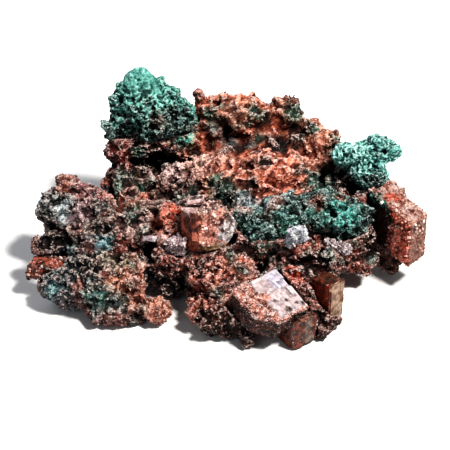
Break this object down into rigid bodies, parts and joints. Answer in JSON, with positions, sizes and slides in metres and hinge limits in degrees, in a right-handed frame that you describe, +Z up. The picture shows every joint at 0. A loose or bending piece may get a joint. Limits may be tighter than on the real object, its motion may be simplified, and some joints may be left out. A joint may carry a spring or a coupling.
{
  "type": "malachite specimen",
  "caption": "Drusy mineral specimen: red iron-stained rock with green malachite knobs and crust, and rhombic calcite crystals standing out of it.",
  "frame": {"origin": "under the middle of the specimen's bounding box, on the surface that it rests on", "axes": "+X along the specimen's longest side, with the pale malachite knob to the right; +Y to the back, where the tall malachite knob stands; +Z up"},
  "size_m": [0.0897, 0.06, 0.0407],
  "materials": {
    "iron_rock": "rough, drusy",
    "malachite": "velvety, finely pitted",
    "malachite_pale": "velvety, finely pitted",
    "calcite_white": "satin, cleaved",
    "calcite_red": "sparkling, drusy",
    "calcite_brown": "glossy, translucent",
    "calcite_amber": "glossy, translucent"
  },
  "bodies": {
    "root": {"matrix": "iron_rock", "malachite_knob_left": "malachite", "malachite_knob_right": "malachite_pale", "malachite_crust": "malachite", "crystal_front": "calcite_white", "crystal_right": "calcite_red", "crystal_centre": "calcite_brown", "crystal_hopper": "calcite_white", "crystal_lilac": "calcite_white", "crystal_shard": "calcite_white", "crystal_flake": "calcite_white", "crystal_white": "calcite_white", "crystal_left": "calcite_red", "crystal_lower": "calcite_brown", "crystal_amber": "calcite_amber"}
  },
  "joints": []
}
